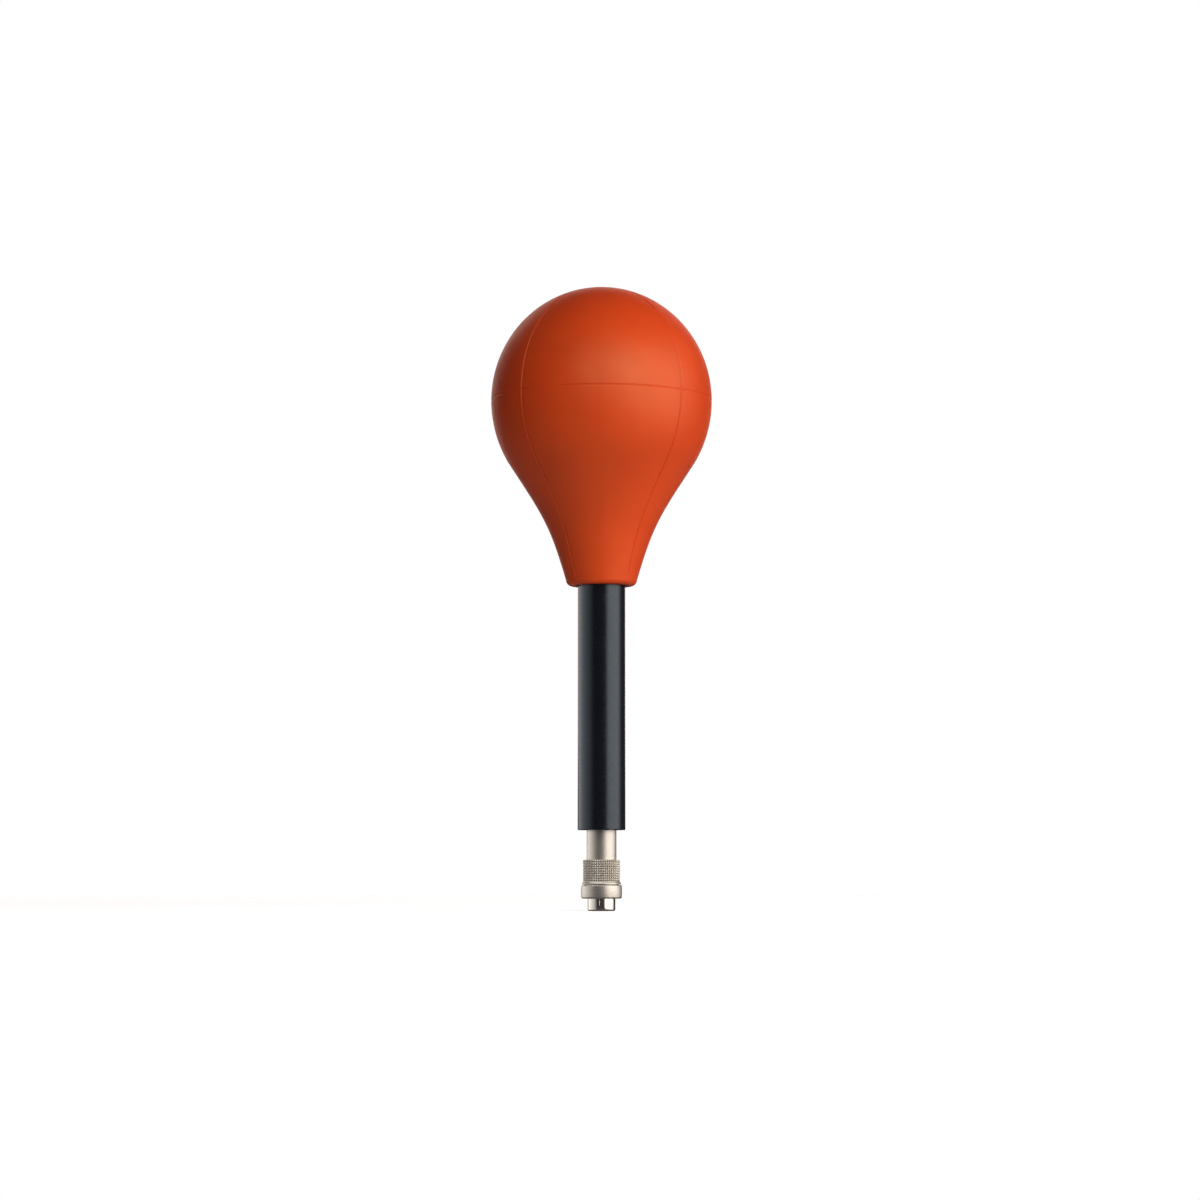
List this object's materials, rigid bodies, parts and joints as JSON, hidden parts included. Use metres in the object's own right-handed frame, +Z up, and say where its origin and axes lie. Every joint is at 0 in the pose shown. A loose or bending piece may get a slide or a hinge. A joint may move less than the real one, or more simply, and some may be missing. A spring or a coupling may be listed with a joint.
{
  "type": "dust blower bulb",
  "caption": "Hand air blower with a pear-shaped rubber squeeze bulb, a slim tubular handle and a metal nozzle with a knurled union nut.",
  "frame": {"origin": "centre of the end face of the blowing tip, on the axis", "axes": "+Z up along the axis from the tip to the crown of the bulb; -Y is the front, the side with the tip's key slot"},
  "size_m": [0.056, 0.056, 0.1577],
  "materials": {
    "bulb_rubber": "smooth satin orange moulding with fine seam grooves",
    "anodised_tube": "black anodised, satin",
    "nickel": "nickel-plated brass, turned, satin to polished",
    "steel": "bright stainless steel",
    "black_plastic": "matt black acetal",
    "valve_rubber": "soft black nitrile",
    "filter_foam": "open-cell off-white foam"
  },
  "bodies": {
    "handle": {"bulb_dome_front": "bulb_rubber", "bulb_dome_back": "bulb_rubber", "bulb_funnel_front": "bulb_rubber", "bulb_funnel_back": "bulb_rubber", "bulb_neck": "bulb_rubber", "handle_tube": "anodised_tube", "valve_body": "black_plastic", "flap_stop": "black_plastic", "outlet_spring": "steel", "air_pipe": "steel", "stem_bush": "black_plastic", "stem_circlip": "steel", "intake_filter": "filter_foam", "nozzle_stem": "nickel", "blowing_tip": "nickel", "tip_seal": "valve_rubber"},
    "right_wall": {"bulb_dome_right": "bulb_rubber", "bulb_funnel_right": "bulb_rubber"},
    "left_wall": {"bulb_dome_left": "bulb_rubber", "bulb_funnel_left": "bulb_rubber"},
    "outlet_valve": {"outlet_ball": "steel"},
    "intake_valve": {"intake_flap": "valve_rubber"},
    "ring": {"retaining_ring": "nickel"},
    "nut": {"knurled_nut": "nickel"}
  },
  "joints": [
    {"name": "squeeze", "type": "slide", "parent": "handle", "child": "right_wall", "axis": [-1, 0, 0], "range_m": [0, 0.01], "stiffness_N_per_m": 1500, "deforming": ["bulb_dome_right", "bulb_funnel_right"]},
    {"name": "squeeze_left", "type": "slide", "parent": "handle", "child": "left_wall", "axis": [1, 0, 0], "range_m": [0, 0.01], "stiffness_N_per_m": 1500, "deforming": ["bulb_dome_left", "bulb_funnel_left"]},
    {"name": "outlet_ball_drop", "type": "slide", "parent": "handle", "child": "outlet_valve", "axis": [0, 0, -1], "range_m": [0, 0.0012], "deforming": ["outlet_spring"]},
    {"name": "intake_flap_lift", "type": "slide", "parent": "handle", "child": "intake_valve", "axis": [0, 0, 1], "range_m": [0, 0.0009]},
    {"name": "ring_travel", "type": "slide", "parent": "handle", "child": "ring", "axis": [0, 0, -1], "range_m": [0, 0.00225]},
    {"name": "nut_turn", "type": "hinge", "parent": "ring", "child": "nut", "pos_m": [0, 0, 0.0088], "axis": [0, 0, -1], "range_deg": [0, 1080]}
  ],
  "couplings": [
    {"joint": "squeeze_left", "follows": "squeeze", "ratio": 1},
    {"joint": "outlet_ball_drop", "follows": "squeeze", "ratio": 0.12},
    {"joint": "nut_turn", "follows": "ring_travel", "rad_per_m": 8377.6}
  ]
}
